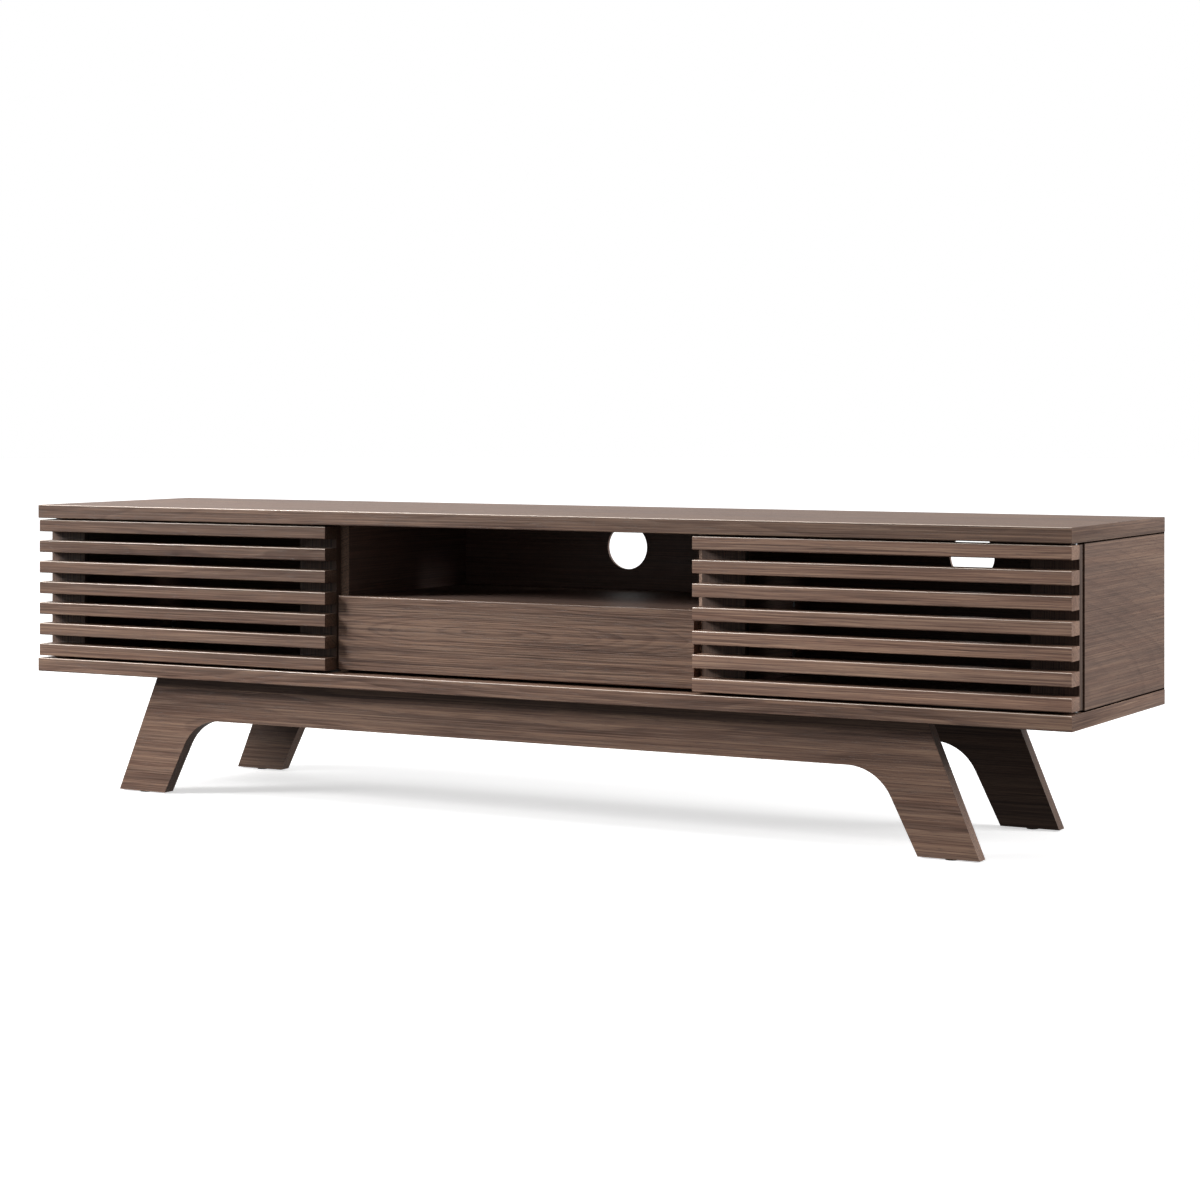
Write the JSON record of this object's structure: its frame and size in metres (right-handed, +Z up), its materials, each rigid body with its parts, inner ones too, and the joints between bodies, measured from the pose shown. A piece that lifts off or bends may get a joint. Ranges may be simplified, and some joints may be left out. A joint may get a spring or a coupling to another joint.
{
  "type": "media cabinet",
  "caption": "Low walnut media cabinet on splayed leg frames, with horizontal-slat doors at both ends, an open centre bay and a drawer below it.",
  "frame": {"origin": "on the floor under the middle of the cabinet", "axes": "+X to the cabinet's right-hand end seen from the front, +Y to the rear, +Z up"},
  "size_m": [1.8, 0.41, 0.47],
  "materials": {
    "walnut": "satin lacquered walnut veneer and solid walnut, grey-brown",
    "walnut_inside": "dark matt walnut veneer",
    "drawer_plywood": "clear lacquered birch plywood",
    "beech_dowel": "raw beech",
    "zinc_steel": "bright zinc plated",
    "runner_steel": "zinc plated rolled strip",
    "black_plastic": "moulded, fine texture",
    "white_nylon": "moulded nylon"
  },
  "bodies": {
    "carcass": {"top_panel": "walnut", "bottom_panel": "walnut", "left_side_panel": "walnut", "right_side_panel": "walnut", "left_partition": "walnut_inside", "right_partition": "walnut_inside", "cubby_shelf": "walnut_inside", "back_panel": "walnut_inside", "front_leg_frame": "walnut", "rear_leg_frame": "walnut", "leg_brackets": "zinc_steel", "bracket_screws": "zinc_steel", "foot_glides": "black_plastic", "cam_locks": "zinc_steel", "cam_bolts": "zinc_steel", "wooden_dowels": "beech_dowel", "shelf_screws": "zinc_steel", "back_panel_screws": "zinc_steel", "pivot_bushes": "white_nylon", "door_magnets": "black_plastic", "left_cabinet_runner": "runner_steel", "right_cabinet_runner": "runner_steel", "cabinet_runner_screws": "zinc_steel"},
    "runner_middles": {"left_middle_runner": "runner_steel", "right_middle_runner": "runner_steel"},
    "drawer": {"drawer_front": "walnut", "drawer_inner_front": "drawer_plywood", "drawer_back": "drawer_plywood", "drawer_bottom": "drawer_plywood", "drawer_left_side": "drawer_plywood", "drawer_right_side": "drawer_plywood", "drawer_screws": "zinc_steel", "left_drawer_runner": "runner_steel", "right_drawer_runner": "runner_steel", "drawer_runner_screws": "zinc_steel"},
    "left_door": {"left_outer_stile": "walnut", "left_inner_stile": "walnut", "left_pivot_pins": "zinc_steel", "left_strike_plate": "zinc_steel", "left_slat_screws": "zinc_steel", "left_slat_1": "walnut", "left_slat_2": "walnut", "left_slat_3": "walnut", "left_slat_4": "walnut", "left_slat_5": "walnut", "left_slat_6": "walnut", "left_slat_7": "walnut"},
    "right_door": {"right_outer_stile": "walnut", "right_inner_stile": "walnut", "right_pivot_pins": "zinc_steel", "right_strike_plate": "zinc_steel", "right_slat_screws": "zinc_steel", "right_slat_1": "walnut", "right_slat_2": "walnut", "right_slat_3": "walnut", "right_slat_4": "walnut", "right_slat_5": "walnut", "right_slat_6": "walnut", "right_slat_7": "walnut"}
  },
  "joints": [
    {"name": "left_door_hinge", "type": "hinge", "parent": "carcass", "child": "left_door", "pos_m": [-0.889, -0.165, 0.332], "axis": [0, 0, -1], "range_deg": [0, 95]},
    {"name": "right_door_hinge", "type": "hinge", "parent": "carcass", "child": "right_door", "pos_m": [0.889, -0.165, 0.332], "axis": [0, 0, 1], "range_deg": [0, 95]},
    {"name": "drawer_slide", "type": "slide", "parent": "carcass", "child": "drawer", "axis": [0, -1, 0], "range_m": [0, 0.28]},
    {"name": "runner_slide", "type": "slide", "parent": "carcass", "child": "runner_middles", "axis": [0, -1, 0], "range_m": [0, 0.14]}
  ],
  "couplings": [
    {"joint": "runner_slide", "follows": "drawer_slide", "ratio": 0.5}
  ]
}
